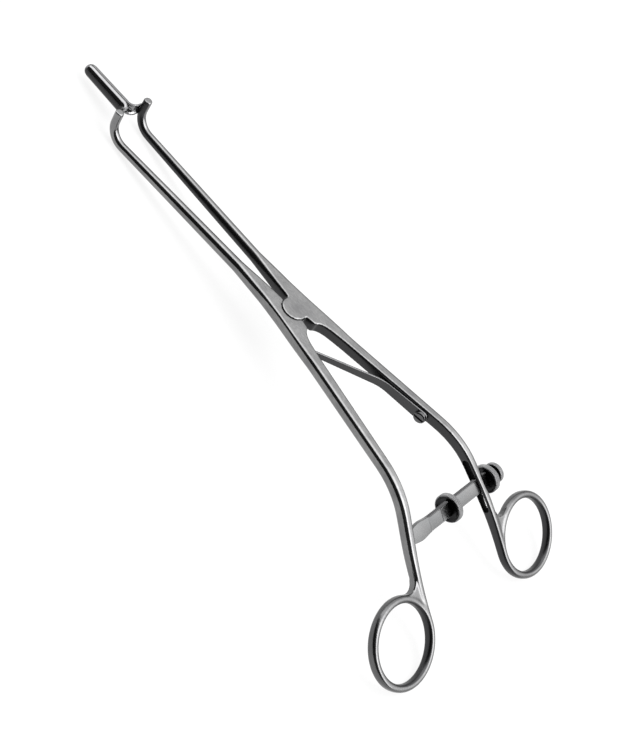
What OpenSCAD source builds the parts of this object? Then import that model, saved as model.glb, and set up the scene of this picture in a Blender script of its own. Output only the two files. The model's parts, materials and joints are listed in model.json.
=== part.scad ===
// Endocervical speculum: two forged steel arms crossing in a lap joint, with half-tube blades
// at the front, finger rings at the back, a leaf spring and a screw bar that holds the opening.
// Built with the lap joint's pivot axis upright through the origin, blades towards +Y and the
// right arm at +X, then turned and raised so that it rests on its rings and elbows at Z = 0.

/* [Arms] */
// Thickness of the shanks and of the lap joint
arm_t = 4.5; // [3.8:0.1:5.5]
// Half distance between the shanks' inner edges, drawn out to the pivot
shank_x = 3.0; // [2.6:0.1:3.6]
// Outward run of a shank for each millimetre of its length
shank_splay = 0.19; // [0.17:0.01:0.22]
// Width of a shank behind the joint
shank_w = 4.8; // [4.2:0.1:5.2]
// Width of a handle
handle_w = 3.5; // [3.3:0.1:4]
// Distance from the pivot to the crease where the handles bend down
bend_y = 71; // [60:1:85]
// Angle by which the handles bend down
bend_angle = 35.5; // [20:0.5:42]
// Radius of that bend, halfway through the steel
bend_r = 30; // [14:1:36]

/* [Finger rings] */
// Distance from the crease to a ring's centre, along the handle
ring_u = 47.3; // [45:0.1:60]
// Radius of a ring's centre line
ring_r = 14.5; // [12.5:0.05:16]
// Width of a ring's oval section in the plane of the ring
ring_w = 2.8; // [2.5:0.1:3.4]
// Thickness of that section across the plane of the ring
ring_t = 3.9; // [3.5:0.1:4.4]
// Radius of the fillet between a ring and its handle
ring_fillet = 3; // [2:0.1:4]

/* [Lap joint] */
// Radius of the lap disc
disc_r = 4.8; // [4.4:0.1:5.4]
// Radius of the pivot pin
pin_r = 1.6; // [1.2:0.1:2]
// Steel left over the blind end of the pin
pin_cover = 0.7; // [0.5:0.1:1]

/* [Jaw rods and posts] */
// Distance from the pivot to the posts
post_y = 90.3; // [80:0.1:110]
// Height of a post's end over the joint's back
post_top = 12.3; // [11.5:0.1:15]
// Diameter of a post and of its elbow
post_d = 3.3; // [3:0.1:3.8]
// Diameter of a rod at the joint
rod_d = 5.3; // [4.8:0.1:5.6]
// Half distance between the rods' centre lines, drawn out to the pivot
rod_x = 3.9; // [3.8:0.1:4.2]
// Outward run of a rod for each millimetre of its length
rod_splay = 0.033; // [0.03:0.001:0.04]
// Angle by which the rods dip towards the elbows
rod_dip = 1.25; // [0:0.05:2]
// Outward lean of the posts
post_lean = 2; // [0:0.5:6]
// Radius of an elbow's centre line
elbow_r = 6.5; // [5:0.1:7]

/* [Blades] */
// Length of the blades in front of the posts
blade_l = 23.9; // [18:0.1:40]
// Radius of the closed blades at the root
blade_r = 2.65; // [2.3:0.05:2.9]
// Radius of the closed blades at the tip
blade_tip_r = 2.4; // [2:0.05:2.6]
// Wall of a blade
blade_wall = 0.8; // [0.6:0.05:1]
// Height of the blades' axis over the joint's back
blade_z = 8.1; // [7.8:0.1:8.8]
// Radius in which a blade's root turns to its post
flare_r = 3.8; // [3.4:0.1:4.2]

/* [Screw bar and nuts] */
// Distance from the crease to the bar, along the handle
bar_u = 18.7; // [17:0.1:20]
// Depth of the bar's middle under the handles' top face
bar_n = 2.5; // [2.3:0.05:2.6]
// Angle at which the bar lies across the handles
bar_skew = 1.0; // [0:0.1:4]
// Width of the bar over its thread
bar_w = 5.5; // [5:0.1:6.2]
// Thickness of the bar
bar_t = 1.8; // [1.4:0.1:2]
// Width of the bar's plain tang at its swell
tang_w = 6.5; // [6:0.1:7]
// Width of the tang in the left handle
tang_end_w = 4.2; // [4.2:0.1:5.2]
// Side place of the bar's far end
bar_end = 30.6; // [30:0.1:34]
// Side place where the thread starts
thread_x = -9; // [-11:0.5:-6]
// Radius of the pin on which the bar swings
bar_pin_r = 0.6; // [0.5:0.05:0.7]
// Length of the slot in the right handle
slot_l = 21.8; // [16:0.1:23]
// Opening of the slot
slot_h = 2.4; // [2.3:0.05:2.6]
// Diameter of the nuts
nut_d = 10.5; // [9.5:0.1:12]
// Thickness of a nut at its rim
nut_w = 2.3; // [2:0.1:3]
// Side place of the inner nut's near face
nut_x = 2.1; // [1:0.1:3]
// Diameter of the end knob
knob_d = 7.6; // [7:0.1:9]
// Thickness of the end knob
knob_w = 1.8; // [1.4:0.1:2.2]

/* [Leaf spring] */
// Height of the leaf at its screw
leaf_h = 4.6; // [4:0.1:5.2]
// Height of the leaf at its free end
leaf_end_h = 2.4; // [2:0.1:3.6]
// Thickness of the leaf
leaf_t = 0.85; // [0.6:0.05:1.1]
// Distance from the pivot to the screw
screw_y = 55; // [50:0.5:57]
// Distance from the pivot to where the leaf leaves the arm
leaf_off_y = 41; // [39:0.5:44]
// Radius in which the leaf curves away from the arm
leaf_r = 14; // [11:1:17]
// Angle by which the leaf turns away from the arm
leaf_angle = 23; // [21:0.5:26]
// Diameter of the screw's head
screw_head_d = 4.6; // [4.4:0.1:6]

/* [Hidden] */

// Clearances: pins and threads, the lap's flat faces and disc edge, and the closed blades
run_gap = 0.05;
lap_gap = 0.1;
rim_gap = 0.12;
// A little more than nothing, for tools that run past a face
past = 1;

deg = 180 / PI;
half_t = arm_t / 2;

// Side path of an arm at mid-thickness. Its length s is 0 at the pivot, negative towards the
// post and positive towards the ring; side() gives [y, z, tilt] there.
dip_y = 12;
elbow_y = post_y - elbow_r * (1 + sin(rod_dip));
elbow_c = [post_y - elbow_r, half_t - (elbow_y - dip_y) * tan(rod_dip) + elbow_r * cos(rod_dip)];
crease_y = bend_y - half_t * tan(bend_angle / 2);
bend_tan = bend_r * tan(bend_angle / 2);
s_elbow = -elbow_y;
s_post = s_elbow - elbow_r * (90 + rod_dip) / deg;
s_top = s_post - (post_top - elbow_c[1]);
s_bend = crease_y - bend_tan;
s_handle = s_bend + bend_r * bend_angle / deg;
// Path length at the distance u down the handle from the crease of the top face
function s_at(u) = u + s_handle - bend_tan - half_t * tan(bend_angle / 2);

function side(s) =
    s < s_post ? [post_y, elbow_c[1] + s_post - s, 90] :
    s < s_elbow ? let (a = (s_elbow - s) / elbow_r * deg - rod_dip)
        [elbow_c[0] + elbow_r * sin(a), elbow_c[1] - elbow_r * cos(a), a] :
    s < -dip_y ? [-s, half_t + (s + dip_y) * tan(rod_dip), -rod_dip] :
    s <= s_bend ? [-s, half_t, 0] :
    s < s_handle ? let (a = (s - s_bend) / bend_r * deg)
        [-s_bend - bend_r * sin(a), half_t - bend_r * (1 - cos(a)), a] :
    let (a = bend_angle, d = s - s_handle)
        [-s_bend - bend_r * sin(a) - d * cos(a), half_t - bend_r * (1 - cos(a)) - d * sin(a), a];

// Inner edge of the shank and handle: straight, then easing into the ring between two places
s_ease = s_at(18);
s_ring = s_at(ring_u - 5);
function shank_in(s) = let (e = max(0, min(s, s_ring) - s_ease))
    shank_x + shank_splay * (min(s, s_ease) + e - e * e / (2 * (s_ring - s_ease)));
ring_x = shank_in(s_ring) + ring_r + ring_w / 2;
function shank_width(s) = lookup(s, [[15, shank_w], [s_bend, (shank_w + 2 * handle_w) / 3],
                                     [s_at(18), handle_w]]);

// One section of an arm as [s, inner x, outer x, half height, inner radius, outer radius],
// turned into a closed row of 24 points whose flats touch all four sides
corner_steps = 6;
function corner(cx, ch, r, from) = [for (i = [0:corner_steps - 1])
    let (a = from + (i + 0.5) * 90 / corner_steps, k = r / cos(45 / corner_steps))
    [cx + k * cos(a), ch + k * sin(a)]];
function section(q) = let (x0 = q[1], x1 = q[2], h = q[3], p = side(q[0]),
        r0 = min(q[4], h - 0.01, (x1 - x0) / 2), r1 = min(q[5], h - 0.01, x1 - x0 - r0))
    [for (c = concat(corner(x1 - r1, h - r1, r1, 0), corner(x0 + r0, h - r0, r0, 90),
                     corner(x0 + r0, r0 - h, r0, 180), corner(x1 - r1, r1 - h, r1, 270)))
        [c[0], p[0] - c[1] * sin(p[2]), p[1] + c[1] * cos(p[2])]];

// A round section of radius r on the jaw rod's centre line
function rod_mid(s) = rod_x + rod_splay * side(s)[0] + max(0, side(s)[1] - elbow_c[1]) * tan(post_lean);
function round_at(s, r) = let (x = rod_mid(s)) [s, x - r, x + r, r, r, r];
s_rod = -24;
post_r = post_d / 2;
function rod_r(s) = lookup(-s, [[-s_rod, min(rod_d / 2, half_t)], [elbow_y, post_r]]);
post_sections = concat([round_at(s_top, post_r - 0.15), round_at(s_top + 0.2, post_r)],
    [for (i = [0:10]) round_at(s_post + i / 10 * (s_elbow - s_post), post_r)]);
rod_sections = [for (i = [1:4]) let (s = s_elbow + i / 4 * (s_rod - s_elbow)) round_at(s, rod_r(s))];

// Flanks of the lap joint and the noses behind it: inner x, outer x and the two edge radii
flank_x = 1.0;
flank_out = rod_x + rod_d / 2 + 0.85;
joint_sections = [
    for (q = [[-15, 1.8, flank_out, 1.3, 1.9], [-9, 1.45, flank_out + 0.15, 0.6, 1.5],
              [-5, 1.15, flank_out + 0.45, 0.3, 1.2], [0, flank_x, flank_out + 1.0, 0.3, 1.1],
              [5, flank_x, flank_out + 1.75, 0.3, 1.1], [8.2, 1.65, flank_out + 2.3, 0.3, 1.2],
              [8.6, 1.9, flank_out + 2.35, 0.3, 1.2], [9.3, 3.2, flank_out + 2.45, 0.3, 1.2],
              [11, 4.4, flank_out + 2.75, 0.4, 1.3], [13.2, 5.2, flank_out + 3.1, 0.5, 1.4],
              [16, 5.9, flank_out + 3.5, 0.5, 1.5]])
        [q[0], q[1], q[2], half_t, q[3], q[4]]];
edge_in = 0.5;
edge_out = 1.7;
function shank_section(s, h) = [s, shank_in(s), shank_in(s) + shank_width(s), h, edge_in, edge_out];
shank_sections = [for (s = [20, 30, 45, s_bend - 3]) shank_section(s, half_t)];
bend_sections = [for (i = [0:7]) shank_section(s_bend + i / 7 * (s_handle - s_bend), half_t)];
// The flats of the handle fade out where it runs into the ring
function fade(u) = min(1, max(0, (u - 20) / (ring_u - 23)));
handle_sections = [for (i = [1:9]) let (u = 10 + i / 9 * (ring_u - 11), f = fade(u), s = s_at(u),
        h = half_t + f * (ring_t / 2 - half_t), x = shank_in(s),
        w = shank_width(s) + f * (ring_w - 0.04 - shank_width(s)))
    [s, x + 0.02 * f, x + w, h, edge_in + f * (w / 2 - edge_in), edge_out + f * (w / 2 - edge_out)]];
// The handle ends inside the ring
root_r = ring_w / 2 - 0.4;
root_x = ring_x - sqrt(pow(ring_r, 2) - 16);
root_section = [s_at(ring_u + 4), root_x - root_r, root_x + root_r, root_r, root_r, root_r];

function reversed(v) = [for (i = [len(v) - 1:-1:0]) v[i]];
// A closed skin over rows of points, all rows of one even length. Its ends are strips across,
// which also suit the hollow rows of a blade.
module skin(rows) {
    n = len(rows[0]);
    m = len(rows);
    ends = [for (j = [0:n / 2 - 2]) [j, j + 1, n - 2 - j, n - 1 - j]];
    polyhedron(points = [for (r = rows) each r],
        faces = concat(ends, [for (f = ends) [for (j = reversed(f)) (m - 1) * n + j]],
            [for (i = [0:m - 2], j = [0:n - 1]) each let (k = (j + 1) % n)
                [[i * n + j, (i + 1) * n + k, i * n + k], [i * n + j, (i + 1) * n + j, (i + 1) * n + k]]]),
        convexity = 8);
}

// Frame of the handles: X across, Y up the handle from the crease, Z out of its top face
module on_handle() translate([0, -bend_y, arm_t]) rotate([bend_angle, 0, 0]) children();

// Resting attitude: both rings and both elbows touch the ground
ring_yz = [-bend_y - ring_u * cos(bend_angle) + half_t * sin(bend_angle),
           arm_t - ring_u * sin(bend_angle) - half_t * cos(bend_angle)];
ring_flat = (ring_t - ring_w) / 2;
lean_a = elbow_c[0] - ring_yz[0] + ring_r * cos(bend_angle) - ring_flat * sin(bend_angle);
lean_b = ring_yz[1] - elbow_c[1] - ring_r * sin(bend_angle) - ring_flat * cos(bend_angle);
lean_k = ring_w / 2 - elbow_r - post_r;
lean = asin(lean_k / norm([lean_a, lean_b])) - atan2(lean_b, lean_a);
rest_z = elbow_c[0] * sin(lean) - elbow_c[1] * cos(lean) + elbow_r + post_r;
tip_y = post_y + blade_l;
dome_flat = 0.7;
y_front = tip_y * cos(lean) + (blade_z + dome_flat) * sin(lean);
y_back = ring_yz[0] * cos(lean) + ring_yz[1] * sin(lean)
    - ring_r * cos(bend_angle - lean) - ring_w / 2 - ring_flat * sin(bend_angle - lean);
module at_rest() translate([0, -(y_front + y_back) / 2, rest_z]) rotate([-lean, 0, 0]) children();

// Ring, and the web that fillets it to the handle, both on the handle's middle plane
web_x = shank_in(s_at(31)) + shank_width(s_at(31));
web_fx = web_x + ring_fillet;
web_reach = ring_r + ring_w / 2 + ring_fillet;
web_in = 0.45;
web_fy = sqrt(pow(web_reach, 2) - pow(ring_x - web_fx, 2));
web_turn = acos((ring_x - web_fx) / web_reach);
module finger_ring() on_handle() translate([0, -ring_u, -half_t]) {
    translate([ring_x, 0, 0]) rotate_extrude($fn = 72) translate([ring_r, 0]) {
        for (m = [-1, 1]) translate([0, m * ring_flat]) circle(d = ring_w, $fn = 32);
        square([ring_w, 2 * ring_flat], center = true);
    }
    translate([0, 0, web_in - ring_t / 2]) linear_extrude(ring_t - 2 * web_in) polygon(concat(
        [for (i = [0:6]) let (a = 180 + i / 6 * (180 - web_turn))
            [web_fx + ring_fillet * cos(a), web_fy + ring_fillet * sin(a)]],
        [[ring_x - ring_r * cos(web_turn), ring_r * sin(web_turn)],
         [ring_x - ring_r * cos(web_turn - 25), ring_r * sin(web_turn - 25)],
         [web_x - 1, 4], [web_x - 1, web_fy]]));
}

module arm_blank() {
    skin([for (q = concat(post_sections, rod_sections, joint_sections, shank_sections,
                          bend_sections, handle_sections, [root_section])) section(q)]);
    finger_ring();
}

module lug(z) translate([0, 0, z]) cylinder(r = disc_r, h = half_t - run_gap / 2, $fn = 96);
module recess(z) translate([0, 0, z]) cylinder(r = disc_r + lap_gap, h = half_t + past, $fn = 96);

// Where the bar crosses: its frame has X along the bar and Y up the handle
module on_bar() on_handle() translate([0, -bar_u, -bar_n]) rotate([0, 0, -bar_skew]) children();
bar_pin_x = shank_in(s_at(bar_u)) + 1;
bar_pin_u = bar_u - bar_pin_x * sin(bar_skew);
pin_place = [-bar_pin_x * cos(bar_skew),
             -bend_y - bar_pin_u * cos(bend_angle) + bar_n * sin(bend_angle),
             arm_t - bar_pin_u * sin(bend_angle) - bar_n * cos(bend_angle)];
mortise_deep = bar_pin_x + 1.25;
mortise_gap = 0.35;

module arm_left() at_rest() color("#B4B6BC") difference() {
    union() {
        mirror([1, 0, 0]) arm_blank();
        lug(0);
    }
    recess(half_t - run_gap / 2);
    translate([0, 0, -past]) cylinder(r = pin_r, h = arm_t + 2 * past, $fn = 64);
    on_bar() translate([-mortise_deep, -bar_w / 2 - mortise_gap, -slot_h / 2])
        cube([5, bar_w + 2 * mortise_gap, slot_h]);
    bar_pin_hole(bar_pin_r);
}

module arm_right() at_rest() color("#B4B6BC") difference() {
    union() {
        arm_blank();
        lug(half_t + run_gap / 2);
    }
    recess(-past + run_gap / 2);
    translate([0, 0, -past]) cylinder(r = pin_r + run_gap, h = arm_t - pin_cover + past, $fn = 64);
    on_bar() for (y = [-1, 1] * (slot_l - slot_h) / 2)
        translate([bar_pin_x - 5, y, 0]) rotate([0, 90, 0]) cylinder(d = slot_h, h = 10, $fn = 48);
    on_bar() translate([bar_pin_x - 5, (slot_h - slot_l) / 2, -slot_h / 2])
        cube([10, slot_l - slot_h, slot_h]);
    on_screw() translate([0, 0, -screw_deep]) cylinder(r = screw_r, h = screw_deep + past, $fn = 48);
}

module pivot_pin() at_rest() color("#9FA1A6")
    cylinder(r = pin_r, h = arm_t - pin_cover - run_gap, $fn = 64);

// Blade: a half tube with a domed tip, whose root turns outward to its post and flattens.
// Each row is [place along the centre line from the tip, outer radius, depth, wall].
flare_a = 90;
flare_front = 0.5;
blade_straight = blade_l - flare_r - flare_front;
tab_l = rod_mid(s_post) - post_r / 2 - flare_r;
dome_l = 2.4;
function dome(d) = sqrt(1 - pow(1 - min(1, (d + 0.12) / (dome_l + 0.12)), 2));
blade_rows = concat(
    [for (d = [0, 0.15, 0.4, 0.8, 1.4]) [d, blade_tip_r * dome(d), 1]],
    [for (i = [0:3]) let (f = i / 3)
        [dome_l + f * (blade_straight - dome_l), blade_tip_r + f * (blade_r - blade_tip_r), 1]],
    [for (i = [1:7]) let (f = i / 7)
        [blade_straight + f * flare_r * flare_a / deg, blade_r, 1 - 0.45 * f]],
    [[blade_straight + flare_r * flare_a / deg + tab_l, blade_r - 0.1, 0.5]]);
// Centre line in plan: [x, y, heading], straight from the tip, then round the flare
function blade_path(s) = let (d = s - blade_straight, a = min(flare_a, max(0, d) / flare_r * deg),
        rest = max(0, d - flare_r * flare_a / deg))
    [flare_r * (1 - cos(a)) + rest * sin(a),
     tip_y - min(s, blade_straight) - flare_r * sin(a) - rest * cos(a), a];
function blade_row(q) = let (p = blade_path(q[0]), r = [q[1] * q[2], q[1]],
        inner = [max(0.15, r[0] - blade_wall), max(0.2, r[1] - blade_wall)])
    [for (c = concat([for (a = [-90:15:90]) [r[0] * cos(a), r[1] * sin(a)]],
                     [for (a = [90:-15:-90]) [inner[0] * cos(a), inner[1] * sin(a)]]))
        let (across = c[0] + rim_gap / 2)
        [p[0] + across * cos(p[2]), p[1] + across * sin(p[2]), blade_z + c[1]]];

module blade_blank() difference() {
    skin([for (q = reversed(blade_rows)) blade_row(q)]);
    translate([rod_mid(s_post), post_y, elbow_c[1]]) rotate([0, post_lean, 0])
        cylinder(r = post_r + 0.02, h = 2 * post_top, $fn = 64);
}
module blade_left() at_rest() color("#C8CACF") mirror([1, 0, 0]) blade_blank();
module blade_right() at_rest() color("#C8CACF") blade_blank();

// Leaf spring in plan: along the right arm's inner face, round a curve, straight to the left arm
arm_a = atan(shank_splay);
leaf_mid = 1.4;
leaf_heel = 2.6;
leaf_gap = 0.35;
leaf_end_a = arm_a + leaf_angle;
leaf_start = screw_y + leaf_heel;
leaf_c = [shank_x + shank_splay * leaf_off_y, -leaf_off_y]
    - (leaf_r + leaf_t) * [cos(arm_a), sin(arm_a)];
// Distance of a point from the left arm's inner face, and the run of leaf that is left to it
function to_left(p) = (p[0] + shank_x - shank_splay * p[1]) * cos(arm_a);
leaf_run = min([for (r = [leaf_r, leaf_r + leaf_t])
    (to_left(leaf_c + r * [cos(leaf_end_a), sin(leaf_end_a)]) - leaf_gap)
        / ((sin(leaf_end_a) + shank_splay * cos(leaf_end_a)) * cos(arm_a))]);
leaf_steps = 12;
// One long side of the leaf, at the radius r of its curve
function leaf_side(r) = let (back = (leaf_start - leaf_off_y) / cos(arm_a)) concat(
    [leaf_c + r * [cos(arm_a), sin(arm_a)] - back * [-sin(arm_a), cos(arm_a)]],
    [for (i = [0:leaf_steps]) let (a = arm_a + i / leaf_steps * leaf_angle)
        leaf_c + r * [cos(a), sin(a)]],
    [leaf_c + r * [cos(leaf_end_a), sin(leaf_end_a)]
        + leaf_run * [-sin(leaf_end_a), cos(leaf_end_a)]]);

module on_screw() translate([shank_x + shank_splay * screw_y, -screw_y, leaf_mid])
    rotate([0, 0, arm_a]) rotate([0, -90, 0]) children();

leaf_tip = leaf_side(leaf_r)[leaf_steps + 2];
module spring_leaf() at_rest() color("#8E9096") difference() {
    intersection() {
        translate([0, 0, leaf_mid - leaf_h]) linear_extrude(2 * leaf_h)
            polygon(concat(leaf_side(leaf_r + leaf_t), reversed(leaf_side(leaf_r))));
        translate([-bend_y / 2, 0, leaf_mid]) rotate([90, 0, 90]) linear_extrude(bend_y)
            polygon(concat([for (t = [-90:10:90]) leaf_h / 2 * [1 - cos(t), -sin(t)] - [leaf_start, 0]],
                [for (m = [-1, 1]) each let (e = m * leaf_end_h / 2)
                    m < 0 ? [[leaf_tip[1], e], [leaf_tip[1] + 4, e]] : [[leaf_tip[1] + 4, e], [leaf_tip[1], e]]]));
    }
    on_screw() translate([0, 0, -past]) cylinder(r = screw_r, h = leaf_t + 2 * past, $fn = 48);
}

// Slotted screw with a low head
screw_r = 1.25;
screw_deep = 2.6;
screw_head_h = 1.4;
head_edge = 0.4;
screw_slot = 0.8;
module spring_screw() at_rest() color("#8E9096") on_screw() difference() {
    rotate_extrude($fn = 64) polygon([[0, -screw_deep], [screw_r, -screw_deep], [screw_r, leaf_t],
        [screw_head_d / 2, leaf_t], [screw_head_d / 2, leaf_t + screw_head_h - head_edge],
        [screw_head_d / 2 - head_edge, leaf_t + screw_head_h], [0, leaf_t + screw_head_h]]);
    translate([-screw_slot / 2, -screw_head_d, leaf_t + screw_head_h / 2])
        cube([screw_slot, 2 * screw_head_d, screw_head_h]);
}

// Screw bar: a tang with a swell, then a round thread ground flat on two sides, then a tenon
tang_end = bar_pin_x + 0.9;
tenon_r = bar_t / 2 - 0.05;
tang_steps = 14;
tang_peak = 0.6;
function eased(a, b, f) = a + (b - a) * pow(sin(90 * f), 2);
tang_side = [for (i = [0:tang_steps]) let (f = i / tang_steps)
    [-tang_end + f * (tang_end + thread_x), f < tang_peak ? eased(tang_end_w, tang_w, f / tang_peak) / 2
        : eased(tang_w, bar_w, (f - tang_peak) / (1 - tang_peak)) / 2]];
knob_web = 0.8;
module screw_bar() at_rest() color("#A8AAB0") difference() {
    on_bar() {
        translate([0, 0, -bar_t / 2]) linear_extrude(bar_t)
            polygon(concat(tang_side, [for (p = reversed(tang_side)) [p[0], -p[1]]]));
        intersection() {
            translate([thread_x, 0, 0]) rotate([0, 90, 0])
                cylinder(d = bar_w, h = bar_end - thread_x, $fn = 96);
            translate([thread_x - past, -bar_w, -bar_t / 2])
                cube([bar_end - thread_x + 2 * past, 2 * bar_w, bar_t]);
        }
        translate([bar_end - past, 0, 0]) rotate([0, 90, 0])
            cylinder(r = tenon_r, h = past + knob_web, $fn = 48);
    }
    bar_pin_hole(bar_pin_r + run_gap);
}

// The swing pin is blind like the pivot pin: it goes in from below, parallel to the pivot
pin_cap = 0.9;
module bar_pin_hole(r) intersection() {
    translate(pin_place) cylinder(r = r, h = 4 * arm_t, center = true, $fn = 48);
    on_handle() translate([-2 * bar_pin_x, -2 * bar_u, -2 * arm_t])
        cube([2 * bar_pin_x, 2 * bar_u, 2 * arm_t - pin_cap]);
}
module bar_pin() at_rest() color("#9FA1A6") intersection() {
    bar_pin_hole(bar_pin_r);
    on_handle() translate([-2 * bar_pin_x, -2 * bar_u, run_gap - arm_t])
        cube([2 * bar_pin_x, 2 * bar_u, arm_t - pin_cap - 2 * run_gap]);
}

// A disc round the bar with both faces dished: d across, w thick at the rim, a bore, a flat
// hub round it and the depth of the dish
rim_w = 0.9;
rim_edge = 0.25;
module dished(d, w, bore, hub, dish, rim) rotate([90, 0, 90]) rotate_extrude($fn = 96) polygon(
    [[bore, dish], [hub, dish], [d / 2 - rim, 0], [d / 2 - rim_edge, 0], [d / 2, rim_edge],
     [d / 2, w - rim_edge], [d / 2 - rim_edge, w], [d / 2 - rim, w], [hub, w - dish], [bore, w - dish]]);
nut_bore = bar_w / 2 + run_gap;
nut_hub = nut_bore + 0.35;
nut_dish = 0.7;
module nut(x) on_bar() translate([x, 0, 0]) dished(nut_d, nut_w, nut_bore, nut_hub, nut_dish, rim_w);
outer_gap = 0.15;
outer_x = (shank_in(s_at(bar_u)) + handle_w + outer_gap
    + nut_d / 2 * (sin(bar_skew) + shank_splay * cos(bar_skew)))
    / (cos(bar_skew) - shank_splay * sin(bar_skew));
module inner_nut() at_rest() color("#8C8E93") nut(nut_x);
module outer_nut() at_rest() color("#8C8E93") nut(outer_x);

knob_dish = (knob_w - knob_web) / 2;
module end_knob() at_rest() color("#8C8E93") on_bar() translate([bar_end - knob_dish, 0, 0])
    dished(knob_d, knob_w, tenon_r, bar_w / 2 + 0.1, knob_dish, 0.35);

arm_left();
arm_right();
blade_left();
blade_right();
pivot_pin();
spring_leaf();
spring_screw();
screw_bar();
bar_pin();
inner_nut();
outer_nut();
end_knob();
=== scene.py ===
"""Endocervical speculum of polished stainless steel, lying shut on its finger rings and elbows.
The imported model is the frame: each steel piece below is a smooth, worked copy of its node."""

import json
import math

import bmesh
import bpy
from mathutils import Euler, Matrix, Vector


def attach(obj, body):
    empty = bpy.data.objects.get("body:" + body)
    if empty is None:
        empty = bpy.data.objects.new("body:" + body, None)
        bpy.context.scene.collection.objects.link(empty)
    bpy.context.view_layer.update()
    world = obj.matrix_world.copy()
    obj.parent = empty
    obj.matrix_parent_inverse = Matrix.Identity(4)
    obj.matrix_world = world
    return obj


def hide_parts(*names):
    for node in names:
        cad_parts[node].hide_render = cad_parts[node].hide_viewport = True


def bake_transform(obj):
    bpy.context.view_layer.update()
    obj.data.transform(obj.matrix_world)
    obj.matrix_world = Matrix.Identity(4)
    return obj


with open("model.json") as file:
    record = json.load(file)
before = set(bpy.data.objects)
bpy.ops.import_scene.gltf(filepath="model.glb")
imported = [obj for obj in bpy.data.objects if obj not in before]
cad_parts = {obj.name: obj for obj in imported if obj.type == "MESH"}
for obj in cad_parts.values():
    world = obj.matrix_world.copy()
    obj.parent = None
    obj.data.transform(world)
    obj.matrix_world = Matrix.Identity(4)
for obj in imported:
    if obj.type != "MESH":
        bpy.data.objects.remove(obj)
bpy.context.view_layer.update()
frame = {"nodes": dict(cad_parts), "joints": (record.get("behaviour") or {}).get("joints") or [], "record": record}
MM = 0.001

# ---------------------------------------------------------------- camera
# The photographer stood at the left, a little above, and used a long lens. The place and the
# turn are given in the frame of the lap joint, whose pivot stands along Z at the origin.
squeeze = next(j for j in frame["joints"] if j["name"] == "handle_squeeze")
pivot_axis = -Vector(squeeze["axis"])
lean = math.atan2(pivot_axis.y, pivot_axis.z)
at_rest = Matrix.Translation(Vector(squeeze["pos_m"])) @ Matrix.Rotation(-lean, 4, "X")

camera_place = Vector((-357.3, -108.4, 371.9)) * MM
camera_turn = Euler([math.radians(a) for a in (37.425, -25.318, -46.665)])
camera_data = bpy.data.cameras.new("camera")
camera_data.sensor_fit = "HORIZONTAL"
camera_data.sensor_width = 36.0
camera_data.lens = 87.57
camera_data.clip_start = 0.01
camera = bpy.data.objects.new("camera", camera_data)
camera.matrix_world = at_rest @ Matrix.Translation(camera_place) @ camera_turn.to_matrix().to_4x4()
bpy.context.collection.objects.link(camera)
bpy.context.scene.camera = camera
bpy.context.scene.view_settings.view_transform = "Standard"


# ---------------------------------------------------------------- floor, sky and lamps
# A white paper sweep under a large soft lamp at the right, with a dark room behind the camera:
# the dark room is what gives the polished edges their black lines.
def linear(hex_colour, alpha=1.0):
    """An sRGB hex colour as linear RGBA."""
    parts = [int(hex_colour[i:i + 2], 16) / 255 for i in (1, 3, 5)]
    return tuple(p / 12.92 if p <= 0.04045 else ((p + 0.055) / 1.055) ** 2.4 for p in parts) + (alpha,)


def add(tree, kind, inputs=None, **settings):
    """Adds a node, sets its settings, and sets or links its inputs."""
    made = tree.nodes.new(kind)
    for name, value in settings.items():
        setattr(made, name, value)
    for name, value in (inputs or {}).items():
        if isinstance(value, bpy.types.NodeSocket):
            tree.links.new(value, made.inputs[name])
        else:
            made.inputs[name].default_value = value
    return made


def ramp(tree, factor, stops):
    """A colour ramp over factor through (place, grey) stops."""
    made = add(tree, "ShaderNodeValToRGB", {"Fac": factor})
    points = made.color_ramp.elements
    while len(points) < len(stops):
        points.new(0.5)
    for point, (place, grey) in zip(points, stops):
        point.position = place
        point.color = (grey, grey, grey, 1)
    return made.outputs["Color"]


def new_material(name):
    """An empty node material and its output."""
    material = bpy.data.materials.new(name)
    material.use_nodes = True
    material.node_tree.nodes.clear()
    return material, add(material.node_tree, "ShaderNodeOutputMaterial")


def seen_directly(tree):
    """1 for rays that come from the camera, a mirror surface or glass."""
    path = add(tree, "ShaderNodeLightPath").outputs
    either = add(tree, "ShaderNodeMath", {0: path["Is Camera Ray"], 1: path["Is Glossy Ray"]},
                 operation="MAXIMUM")
    return add(tree, "ShaderNodeMath", {0: either.outputs[0], 1: path["Is Transmission Ray"]},
               operation="MAXIMUM").outputs[0]


paper, output = new_material("white_paper_sweep")
tree = paper.node_tree
matt = add(tree, "ShaderNodeBsdfDiffuse", {"Color": linear("#F4F4F4")})
glow = add(tree, "ShaderNodeEmission", {"Color": (1, 1, 1, 1), "Strength": 1.0})
glow_share = add(tree, "ShaderNodeMath", {0: seen_directly(tree), 1: 0.85}, operation="MULTIPLY")
both = add(tree, "ShaderNodeMixShader", {0: glow_share.outputs[0], 1: matt.outputs[0], 2: glow.outputs[0]})
tree.links.new(both.outputs[0], output.inputs["Surface"])
floor_mesh = bpy.data.meshes.new("floor")
half_floor = 3.0
floor_mesh.from_pydata([(x, y, -0.0002) for x, y in ((-half_floor, -half_floor), (half_floor, -half_floor),
                                                    (half_floor, half_floor), (-half_floor, half_floor))],
                       [], [(0, 1, 2, 3)])
floor = bpy.data.objects.new("floor", floor_mesh)
floor_mesh.materials.append(paper)
bpy.context.collection.objects.link(floor)

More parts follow.
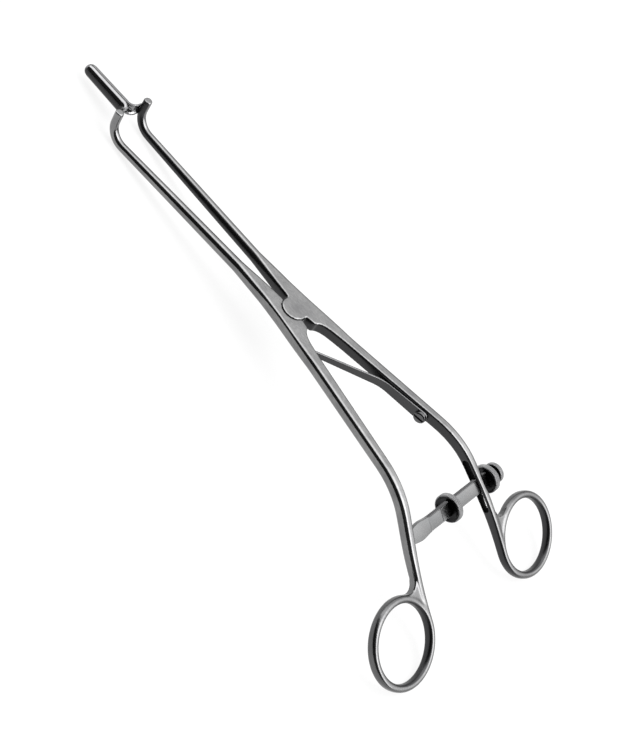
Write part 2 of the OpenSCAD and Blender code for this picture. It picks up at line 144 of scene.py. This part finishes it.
# Two long banks of lamps hang at the right, parallel to the instrument: a broad one for the flats
# and a brighter narrow one near the top, which draws the thin white line along the edges. The
# left half of the room is black. The place in the ramp is the height over the right horizon,
# turned about the instrument's length: 0 is the right horizon, 0.5 the zenith, 1 the left.
world = bpy.data.worlds.new("studio")
bpy.context.scene.world = world
world.use_nodes = True
tree = world.node_tree
tree.nodes.clear()
direction = add(tree, "ShaderNodeSeparateXYZ", {
    "Vector": add(tree, "ShaderNodeTexCoord").outputs["Generated"]}).outputs
height = add(tree, "ShaderNodeMath", {0: direction["Z"], 1: direction["X"]}, operation="ARCTAN2")
half_turn = add(tree, "ShaderNodeMath", {0: height.outputs[0], 1: math.pi}, operation="DIVIDE")
banks = ramp(tree, half_turn.outputs[0],
             [(0.0, 0.10), (0.10, 0.20), (0.18, 0.44), (0.28, 0.48), (0.34, 0.80), (0.42, 1.0), (0.50, 0.9),
              (0.565, 0.010), (1.0, 0.010)])
near_end = add(tree, "ShaderNodeMapRange", {"Value": direction["Y"], "From Min": -0.35, "From Max": 0.1,
                                            "To Min": 1.75, "To Max": 1.0}).outputs["Result"]
power = add(tree, "ShaderNodeMath", {0: near_end, 1: 3.5}, operation="MULTIPLY")
sky = add(tree, "ShaderNodeBackground", {"Color": banks, "Strength": power.outputs[0]})
white = add(tree, "ShaderNodeBackground", {"Color": (1, 1, 1, 1), "Strength": 1.0})
camera_ray = add(tree, "ShaderNodeLightPath").outputs["Is Camera Ray"]
mixed = add(tree, "ShaderNodeMixShader", {0: camera_ray, 1: sky.outputs[0], 2: white.outputs[0]})
add(tree, "ShaderNodeOutputWorld", {"Surface": mixed.outputs[0]})


# ---------------------------------------------------------------- forged arms
# Each arm is one drop forging of stainless steel: round jaw rod, half of the lap joint, flat
# shank, bent handle and finger ring. It is ground, then polished along its length, so fine
# lines run lengthwise and every edge is a little round.
def steel(name, pale, dark, smooth, rough, line_mm, line_length, depth_mm):
    """Polished steel: lines along Y line_mm apart, pale and dark clouds, and its roughness range.
    Where the mesh's shade attribute is 1, shade is painted in: a dark grey colour and a rougher finish."""
    material, output = new_material(name)
    tree = material.node_tree
    place = add(tree, "ShaderNodeTexCoord").outputs["Object"]
    along = add(tree, "ShaderNodeMapping", {"Vector": place, "Scale": (1, line_mm / line_length, 1)})
    lines = add(tree, "ShaderNodeTexNoise", {"Vector": along.outputs[0], "Scale": 0.5 / (line_mm * MM),
                                             "Detail": 2.0, "Roughness": 0.6}).outputs["Fac"]
    clouds = add(tree, "ShaderNodeTexNoise", {"Vector": place, "Scale": 0.5 / (5 * MM),
                                              "Detail": 3.0}).outputs["Fac"]
    grain = add(tree, "ShaderNodeMath", {0: lines, 1: clouds}, operation="MULTIPLY")
    tint = add(tree, "ShaderNodeMix", {0: add(tree, "ShaderNodeMapRange", {
        "Value": grain.outputs[0], "From Min": 0.12, "From Max": 0.38}).outputs["Result"],
        6: linear(dark), 7: linear(pale)}, data_type="RGBA")
    gloss = add(tree, "ShaderNodeMapRange", {"Value": lines, "From Min": 0.3, "From Max": 0.7,
                                             "To Min": smooth, "To Max": rough})
    shade_share = add(tree, "ShaderNodeAttribute", attribute_name="painted_side_shade").outputs["Fac"]
    # painted shade: dark grey mixed into the colour where the mesh marks a side as shaded
    skin = add(tree, "ShaderNodeMix", {0: shade_share, 6: tint.outputs[2], 7: linear("#404041")}, data_type="RGBA")
    dull = add(tree, "ShaderNodeMix", {0: shade_share, 2: gloss.outputs["Result"], 3: 0.34})
    relief = add(tree, "ShaderNodeBump", {"Height": lines, "Strength": 0.5, "Distance": depth_mm * MM})
    surface = add(tree, "ShaderNodeBsdfPrincipled", {
        "Base Color": skin.outputs[2], "Metallic": 1.0, "Roughness": dull.outputs[0],
        "Normal": relief.outputs["Normal"]})
    tree.links.new(surface.outputs["BSDF"], output.inputs["Surface"])
    return material


def baked(piece, *materials):
    """Turns the piece's modifiers into plain mesh, shaded smooth in the given materials."""
    finished = bpy.data.meshes.new_from_object(
        piece.evaluated_get(bpy.context.evaluated_depsgraph_get()))
    piece.modifiers.clear()
    piece.data = finished
    for index, material in enumerate(materials):
        if index < len(finished.materials):
            finished.materials[index] = material
        else:
            finished.materials.append(material)
    finished.shade_smooth()
    return piece


def polished(node, voxel_mm, passes, material, spared=None):
    """A copy of a node whose edges are worn round by passes of the polishing wheel, which hardly
    reaches the points that are spared."""
    mesh = frame["nodes"][node].data.copy()
    merged = bmesh.new()
    merged.from_mesh(mesh)
    bmesh.ops.remove_doubles(merged, verts=merged.verts, dist=1e-3 * MM)
    merged.to_mesh(mesh)
    merged.free()
    piece = bpy.data.objects.new(node + "_polished", mesh)
    bpy.context.collection.objects.link(piece)
    skin = piece.modifiers.new("skin", "REMESH")
    skin.mode = "VOXEL"
    skin.voxel_size = voxel_mm * MM
    baked(piece, material)
    reach = piece.vertex_groups.new(name="wheel_reach")
    for vertex in piece.data.vertices:
        reach.add([vertex.index], 0.15 if spared and spared(vertex.co) else 1.0, "REPLACE")
    wheel = piece.modifiers.new("wheel", "SMOOTH")
    wheel.vertex_group = reach.name
    wheel.factor = 0.5
    wheel.iterations = passes
    ground_off = piece.modifiers.new("ground_off", "DISPLACE")
    ground_off.mid_level = 0.0
    ground_off.strength = -0.015 * MM
    baked(piece, material)
    piece.vertex_groups.clear()
    return piece


def step(low, high, value):
    """0 below low, 1 above high and a smooth rise between them."""
    t = min(1.0, max(0.0, (value - low) / (high - low)))
    return t * t * (3 - 2 * t)


def paint_side_shade(piece, share):
    """Stores at each point how much painted shade it gets, by share(point, normal)."""
    store = piece.data.attributes.new("painted_side_shade", "FLOAT", "POINT")
    store.data.foreach_set("value", [share(v.co, v.normal) for v in piece.data.vertices])
    return piece


def fitted(piece, node, body):
    """The piece stands for a node, whose part it hides, and moves with a body."""
    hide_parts(node)
    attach(piece, body)


forged = steel("satin_polished_forged_steel", "#898989", "#6F6F70", 0.10, 0.19, 0.12, 6.0, 0.0008)
# Painted shade: a near-black colour for the walls of the right handle's slot, standing in for the shade inside it.
slot_shade, output = new_material("black_painted_slot_shade")
slot_shade_black = add(slot_shade.node_tree, "ShaderNodeBsdfPrincipled", {
    "Base Color": linear("#101011"), "Roughness": 0.8, "Specular IOR Level": 0.05})
slot_shade.node_tree.links.new(slot_shade_black.outputs["BSDF"], output.inputs["Surface"])
arm_t, bend_y, bend_angle = 4.5, 71.0, 35.5
bar_u, bar_n, slot_l, slot_h = 18.7, 2.5, 21.8, 2.4
ring_r = 14.5
on_handle = at_rest @ Matrix.Translation(Vector((0, -bend_y, arm_t)) * MM) \
    @ Matrix.Rotation(math.radians(bend_angle), 4, "X")
from_handle = on_handle.inverted()


def round_the_bar(point):
    """Whether a point is in or at the slots that hold the screw bar."""
    place = from_handle @ point / MM
    return abs(place.y + bar_u) < slot_l / 2 + 0.5 and abs(place.z + bar_n) < slot_h / 2 + 0.5


def arm_side_shade(side):
    """Painted shade on the inner side of an arm and in and round its ring, by the way each point faces."""
    inward = 1 if side == "left" else -1
    ring = next(m for m in frame["record"]["mounts"] if m["name"] == side + "_ring")
    middle, through = Vector(ring["pos_m"]), Vector(ring["axis"])

    def share(point, normal):
        inner = step(0.25, 0.6, inward * normal.x)
        away = (point - middle) - through * (point - middle).dot(through)
        inner = max(inner, 0.3 * (1 - step(ring_r + 2.0, ring_r + 9.0, away.length / MM)))
        if away.length < (ring_r + 2.0) * MM:
            outward = normal.dot(away.normalized())
            inner = max(inner, 0.25, step(0.2, 0.6, -outward), 0.55 * step(0.2, 0.7, outward))
        return inner

    return share


# Each arm gets painted shade on its inner side and in and round its ring.
for side in ("left", "right"):
    arm = paint_side_shade(polished("arm_" + side, 0.25, 24, forged, round_the_bar), arm_side_shade(side))
    if side == "right":
        # painted shade on the walls of the slot in the right handle
        arm.data.materials.append(slot_shade)
        for face in arm.data.polygons:
            face.material_index = int(round_the_bar(face.center) and abs(face.normal.x) < 0.8)
    fitted(arm, "arm_" + side, side + "_arm")

# ---------------------------------------------------------------- blades
# A half tube of thin steel, brazed by its root to the post of each jaw rod and polished brighter
# than the arms, because it is what enters the canal.
bright = steel("bright_polished_blade_steel", "#8F8F90", "#7F7F80", 0.08, 0.16, 0.10, 3.0, 0.0006)
for side in ("left", "right"):
    # Painted shade on the sides of the left blade that face -X.
    blade = paint_side_shade(polished("blade_" + side, 0.12, 4, bright),
                            lambda point, normal: step(0.55, 0.85, -normal.x) if side == "left" else 0.0)
    fitted(blade, "blade_" + side, side + "_arm")

# ---------------------------------------------------------------- pins
# Ground rods: the pivot pin is pressed into the left arm, the small one holds the screw bar.
ground = steel("ground_pin_steel", "#888889", "#767677", 0.22, 0.32, 0.08, 0.8, 0.0008)
for pin in ("pivot_pin", "bar_pin"):
    fitted(polished(pin, 0.1, 2, ground), pin, "left_arm")

# ---------------------------------------------------------------- leaf spring
# A strip of hardened spring steel, left darker, held by a slotted screw to the right shank. Its
# free end slides along the left shank, so the strip flexes as the arms move.
spring = steel("dark_satin_spring_steel", "#808081", "#727273", 0.20, 0.30, 0.10, 5.0, 0.0010)
# Painted shade on the sides of the leaf that face -X.
leaf = paint_side_shade(polished("spring_leaf", 0.14, 3, spring),
                       lambda point, normal: 0.9 * step(0.3, 0.7, -normal.x))
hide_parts("spring_leaf")
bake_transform(leaf)
screw_steel = steel("dark_screw_steel", "#676768", "#59595A", 0.18, 0.28, 0.08, 0.8, 0.0008)
fitted(polished("spring_screw", 0.09, 3, screw_steel), "spring_screw", "right_arm")

# ---------------------------------------------------------------- screw bar
# A flat bar turned from rod: a swelled tang that swings in the left handle, then a thread that
# two ground flats leave only along the edges. One line is scribed across its top face.
bar_skew = 1.0
on_bar = on_handle @ Matrix.Translation(Vector((0, -bar_u, -bar_n)) * MM) \
    @ Matrix.Rotation(math.radians(-bar_skew), 4, "Z")
bar_t, bar_w, tang_w, tang_end_w, tang_peak = 1.8, 5.5, 6.5, 4.2, 0.6
tang_end, thread_start, bar_end = -21.61, -9.0, 30.6
thread_pitch, thread_depth, scribed_x = 0.8, 0.45, -2.1


def tree_of(name, inputs):
    """An empty geometry tree with a Geometry input, named inputs, and its two end nodes."""
    tree = bpy.data.node_groups.new(name, "GeometryNodeTree")
    tree.interface.new_socket("Geometry", in_out="INPUT", socket_type="NodeSocketGeometry")
    for label, kind in inputs.items():
        tree.interface.new_socket(label, in_out="INPUT", socket_type="NodeSocket" + kind)
    tree.interface.new_socket("Geometry", in_out="OUTPUT", socket_type="NodeSocketGeometry")
    return tree, tree.nodes.new("NodeGroupInput").outputs, tree.nodes.new("NodeGroupOutput").inputs


def worked_by(piece, tree, values):
    """Runs a geometry tree on a piece with the given values."""
    modifier = piece.modifiers.new(tree.name, "NODES")
    modifier.node_group = tree
    for item in tree.interface.items_tree:
        if item.in_out == "INPUT" and item.name in values:
            modifier[item.identifier] = values[item.name]
    piece.data.update()


def mesh_piece(name, rows, closed_ends=True):
    """A skin over rings of points in millimetres of the bar's frame."""
    mesh = bmesh.new()
    rings = [[mesh.verts.new(Vector(p) * MM) for p in row] for row in rows]
    for near, far in zip(rings, rings[1:]):
        for k in range(len(near)):
            j = (k + 1) % len(near)
            mesh.faces.new((near[k], near[j], far[j], far[k]))
    if closed_ends:
        mesh.faces.new(rings[0])
        mesh.faces.new(reversed(rings[-1]))
    bmesh.ops.recalc_face_normals(mesh, faces=mesh.faces)
    data = bpy.data.meshes.new(name)
    mesh.to_mesh(data)
    mesh.free()
    piece = bpy.data.objects.new(name, data)
    bpy.context.collection.objects.link(piece)
    return piece


def bar_row(x, half_w, round_mm, sunk=0.0):
    """One section of the bar: two flats, sunk where a line is scribed, and two round edges."""
    half_t = bar_t / 2 - sunk
    corners = [(half_w - round_mm, half_t - round_mm, 0), (round_mm - half_w, half_t - round_mm, 90),
               (round_mm - half_w, round_mm - half_t, 180), (half_w - round_mm, round_mm - half_t, 270)]
    return [(x, y + round_mm * math.cos(a), z + round_mm * math.sin(a)) for y, z, first in corners
            for a in [math.radians(first + 22.5 * k) for k in range(5)]]


core_w = bar_w / 2 - thread_depth


def eased(start, end, f):
    """A smooth way from start to end as f goes from 0 to 1."""
    return start + (end - start) * math.sin(math.pi / 2 * f) ** 2


rows = [bar_row(tang_end, tang_end_w / 2 - 0.2, 0.15)]
for k in range(25):
    f = k / 24
    wide = eased(tang_end_w, tang_w, f / tang_peak) if f < tang_peak \
        else eased(tang_w, bar_w, (f - tang_peak) / (1 - tang_peak))
    rows.append(bar_row(tang_end + 0.1 + f * (thread_start - tang_end - 0.1), wide / 2, 0.2))
rows.append(bar_row(thread_start + 0.3, core_w, 0.1))
rows += [bar_row(scribed_x + dx, core_w, 0.1, sunk) for dx, sunk in ((-0.18, 0), (-0.06, 0.12), (0.06, 0.12), (0.18, 0))]
rows.append(bar_row(bar_end, core_w, 0.1))
screw_bar = mesh_piece("screw_bar_threaded", rows)

thread, given, result = tree_of("thread_on_both_edges", {
    "Teeth": "Int", "Pitch": "Float", "Depth": "Float", "Thickness": "Float", "Start": "Float",
    "Core": "Float", "Material": "Material"})
tooth = add(thread, "GeometryNodeMeshCylinder", {
    "Vertices": 3, "Radius": 1.0, "Depth": given["Thickness"]})
spread = add(thread, "ShaderNodeMath", {0: given["Pitch"], 1: 0.5774}, operation="MULTIPLY")
rise = add(thread, "ShaderNodeMath", {0: given["Depth"], 1: 0.6667}, operation="MULTIPLY")
shape = add(thread, "ShaderNodeCombineXYZ", {"X": rise.outputs[0], "Y": spread.outputs[0], "Z": 1.0})
one_pitch = add(thread, "ShaderNodeCombineXYZ", {"X": given["Pitch"]})
edges = []
for way, shift, turn in ((1, 0.0, math.pi / 2), (-1, 0.5, -math.pi / 2)):
    late = add(thread, "ShaderNodeMath", {0: given["Pitch"], 1: shift, 2: given["Start"]},
               operation="MULTIPLY_ADD")
    third = add(thread, "ShaderNodeMath", {0: given["Depth"], 1: 0.3333, 2: given["Core"]},
                operation="MULTIPLY_ADD")
    side_y = add(thread, "ShaderNodeMath", {0: third.outputs[0], 1: float(way)}, operation="MULTIPLY")
    start = add(thread, "ShaderNodeCombineXYZ", {"X": late.outputs[0], "Y": side_y.outputs[0]})
    line = add(thread, "GeometryNodeMeshLine", {"Count": given["Teeth"], "Start Location": start.outputs[0],
                                                "Offset": one_pitch.outputs[0]})
    edges.append(add(thread, "GeometryNodeInstanceOnPoints", {
        "Points": line.outputs["Mesh"], "Instance": tooth.outputs["Mesh"],
        "Rotation": (0, 0, turn), "Scale": shape.outputs[0]}).outputs["Instances"])
joined = thread.nodes.new("GeometryNodeJoinGeometry")
for part in edges:
    thread.links.new(part, joined.inputs["Geometry"])
real = add(thread, "GeometryNodeRealizeInstances", {"Geometry": joined.outputs["Geometry"]})
dressed = add(thread, "GeometryNodeSetMaterial", {"Geometry": real.outputs["Geometry"],
                                                  "Material": given["Material"]})
whole = thread.nodes.new("GeometryNodeJoinGeometry")
for part in (given["Geometry"], dressed.outputs["Geometry"]):
    thread.links.new(part, whole.inputs["Geometry"])
thread.links.new(whole.outputs["Geometry"], result["Geometry"])

threaded = steel("satin_threaded_bar_steel", "#767676", "#68696A", 0.22, 0.34, 0.10, 0.6, 0.0012)
# Painted shade: the thread's flanks are a darker copy of the bar's steel, so the gaps between the teeth read dark.
shaded_flanks = steel("thread_flank_steel_painted_shade", "#6C6C6D", "#5A5A5B", 0.14, 0.22, 0.10, 0.6, 0.0012)
screw_bar.data.materials.append(threaded)
worked_by(screw_bar, thread, {
    "Teeth": int((bar_end - thread_start - 0.6) / thread_pitch), "Pitch": thread_pitch * MM,
    "Depth": thread_depth * MM, "Thickness": (bar_t - 0.16) * MM, "Start": (thread_start + 0.5) * MM,
    "Core": core_w * MM, "Material": shaded_flanks})


def settled(piece, place, smooth_angle=35.0):
    """Bakes a piece made in a local frame and moves its mesh to its place in the row."""
    baked(piece)
    piece.data.transform(place)
    piece.data.set_sharp_from_angle(angle=math.radians(smooth_angle))
    return piece


fitted(settled(screw_bar, on_bar), "screw_bar", "bar")

# ---------------------------------------------------------------- nuts and end knob
# Discs turned from bar: both faces are dished and painted near black as shade, the rim has a fine straight knurl.
# The small knob is riveted on the bar's end, so that the nuts can't come off.
nut_d, nut_w, nut_x, outer_x = 10.5, 2.3, 2.1, 24.9
knob_d, knob_w, knob_x = 7.6, 1.8, 30.1


def dish(bore, hub, rim, edge, radius, width, depth):
    """Profile of a disc with two dished faces, as (radius, along) pairs from bore to bore."""
    face = [(bore, depth), (hub, depth)]
    reach = radius - rim - hub
    face += [(hub + reach * k / 8, depth * (1 - (k / 8) ** 2.2)) for k in range(1, 9)]
    corner = [(radius - edge + edge * math.sin(a), edge - edge * math.cos(a))
              for a in [math.radians(90 * k / 4) for k in range(5)]]
    half = face + corner
    return half + [(r, width - x) for r, x in reversed(half)]


knurl, given, result = tree_of("straight_knurl", {
    "Ridges": "Int", "Radius": "Float", "Ridge": "Float", "Length": "Float", "Middle": "Float",
    "Material": "Material"})
rim_points = add(knurl, "GeometryNodeMeshCircle", {"Vertices": given["Ridges"], "Radius": given["Radius"]})
ridge = add(knurl, "GeometryNodeMeshCylinder", {"Vertices": 6, "Radius": given["Ridge"],
                                                "Depth": given["Length"]})
around = add(knurl, "GeometryNodeInstanceOnPoints", {
    "Points": rim_points.outputs["Mesh"], "Instance": ridge.outputs["Mesh"]})
lifted = add(knurl, "ShaderNodeCombineXYZ", {"Z": given["Middle"]})
moved = add(knurl, "GeometryNodeTransform", {"Geometry": around.outputs["Instances"],
                                             "Translation": lifted.outputs[0]})
real = add(knurl, "GeometryNodeRealizeInstances", {"Geometry": moved.outputs["Geometry"]})
dressed = add(knurl, "GeometryNodeSetMaterial", {"Geometry": real.outputs["Geometry"],
                                                 "Material": given["Material"]})
joined = knurl.nodes.new("GeometryNodeJoinGeometry")
for part in (given["Geometry"], dressed.outputs["Geometry"]):
    knurl.links.new(part, joined.inputs["Geometry"])
knurl.links.new(joined.outputs["Geometry"], result["Geometry"])

# Painted shade: the dished faces are the rims' steel coloured near black.
turned = steel("turned_steel_painted_shade", "#2F2F30", "#272728", 0.20, 0.32, 0.10, 0.1, 0.0008)
knurled = steel("knurled_rim_steel", "#8B8B8C", "#7A7A7B", 0.20, 0.30, 0.10, 0.1, 0.0008)
along_bar = Matrix.Rotation(math.radians(90), 4, "Y")


def add_shade_plug(mesh, reach, low, high):
    """A dark plug over and under the flat bar, from low to high: painted shade in the nut's bore."""
    turn = math.acos((bar_t / 2 + 0.06) / reach)
    arc = [turn * (k / 12 - 1) for k in range(25)]
    for way in (1, -1):
        ends = [[mesh.verts.new(Vector((way * reach * math.cos(a), reach * math.sin(a), h)) * MM) for a in arc]
                for h in (low, high)]
        made = [mesh.faces.new(ends[0]), mesh.faces.new(reversed(ends[1]))]
        made += [mesh.faces.new((ends[0][k - 1], ends[0][k], ends[1][k], ends[1][k - 1])) for k in range(25)]
        bmesh.ops.recalc_face_normals(mesh, faces=made)


def disc(name, profile, radius, width, ridges, ridge_mm, x, plug_inset=0.0):
    """A turned disc with a knurled rim, at x along the bar, with a dark plug in its bore as painted shade."""
    steps = 96
    rows = [[(r * math.cos(a), r * math.sin(a), h) for r, h in profile]
            for a in [2 * math.pi * k / steps for k in range(steps)]]
    piece = mesh_piece(name, rows + rows[:1], closed_ends=False)
    merged = bmesh.new()
    merged.from_mesh(piece.data)
    bmesh.ops.remove_doubles(merged, verts=merged.verts, dist=1e-3 * MM)
    bmesh.ops.recalc_face_normals(merged, faces=merged.faces)
    for face in merged.faces:
        if min(math.hypot(v.co.x, v.co.y) for v in face.verts) > (radius - 0.35) * MM:
            face.material_index = 1
    # painted shade: a dark plug fills the bore over and under the bar
    if plug_inset:
        add_shade_plug(merged, bar_w / 2 + 0.08, plug_inset, width - plug_inset)
    merged.to_mesh(piece.data)
    merged.free()
    piece.data.materials.append(turned)
    piece.data.materials.append(knurled)
    worked_by(piece, knurl, {"Ridges": ridges, "Radius": (radius - ridge_mm * 0.7) * MM,
                             "Ridge": ridge_mm * MM, "Length": (width - 0.5) * MM,
                             "Middle": width / 2 * MM, "Material": knurled})
    return settled(piece, on_bar @ Matrix.Translation((x * MM, 0, 0)) @ along_bar)


nut_profile = dish(bar_w / 2 + 0.05, bar_w / 2 + 0.4, 0.75, 0.25, nut_d / 2 - 0.1, nut_w, 0.7)
for name, x in (("inner_nut", nut_x), ("outer_nut", outer_x)):
    fitted(disc(name + "_knurled", nut_profile, nut_d / 2, nut_w, 80, 0.17, x, 0.8), name, name)
knob_profile = dish(0.85, bar_w / 2 + 0.1, 0.35, 0.2, knob_d / 2 - 0.08, knob_w, 0.5)
fitted(disc("end_knob_knurled", knob_profile, knob_d / 2, knob_w, 56, 0.14, knob_x),
       "end_knob", "bar")
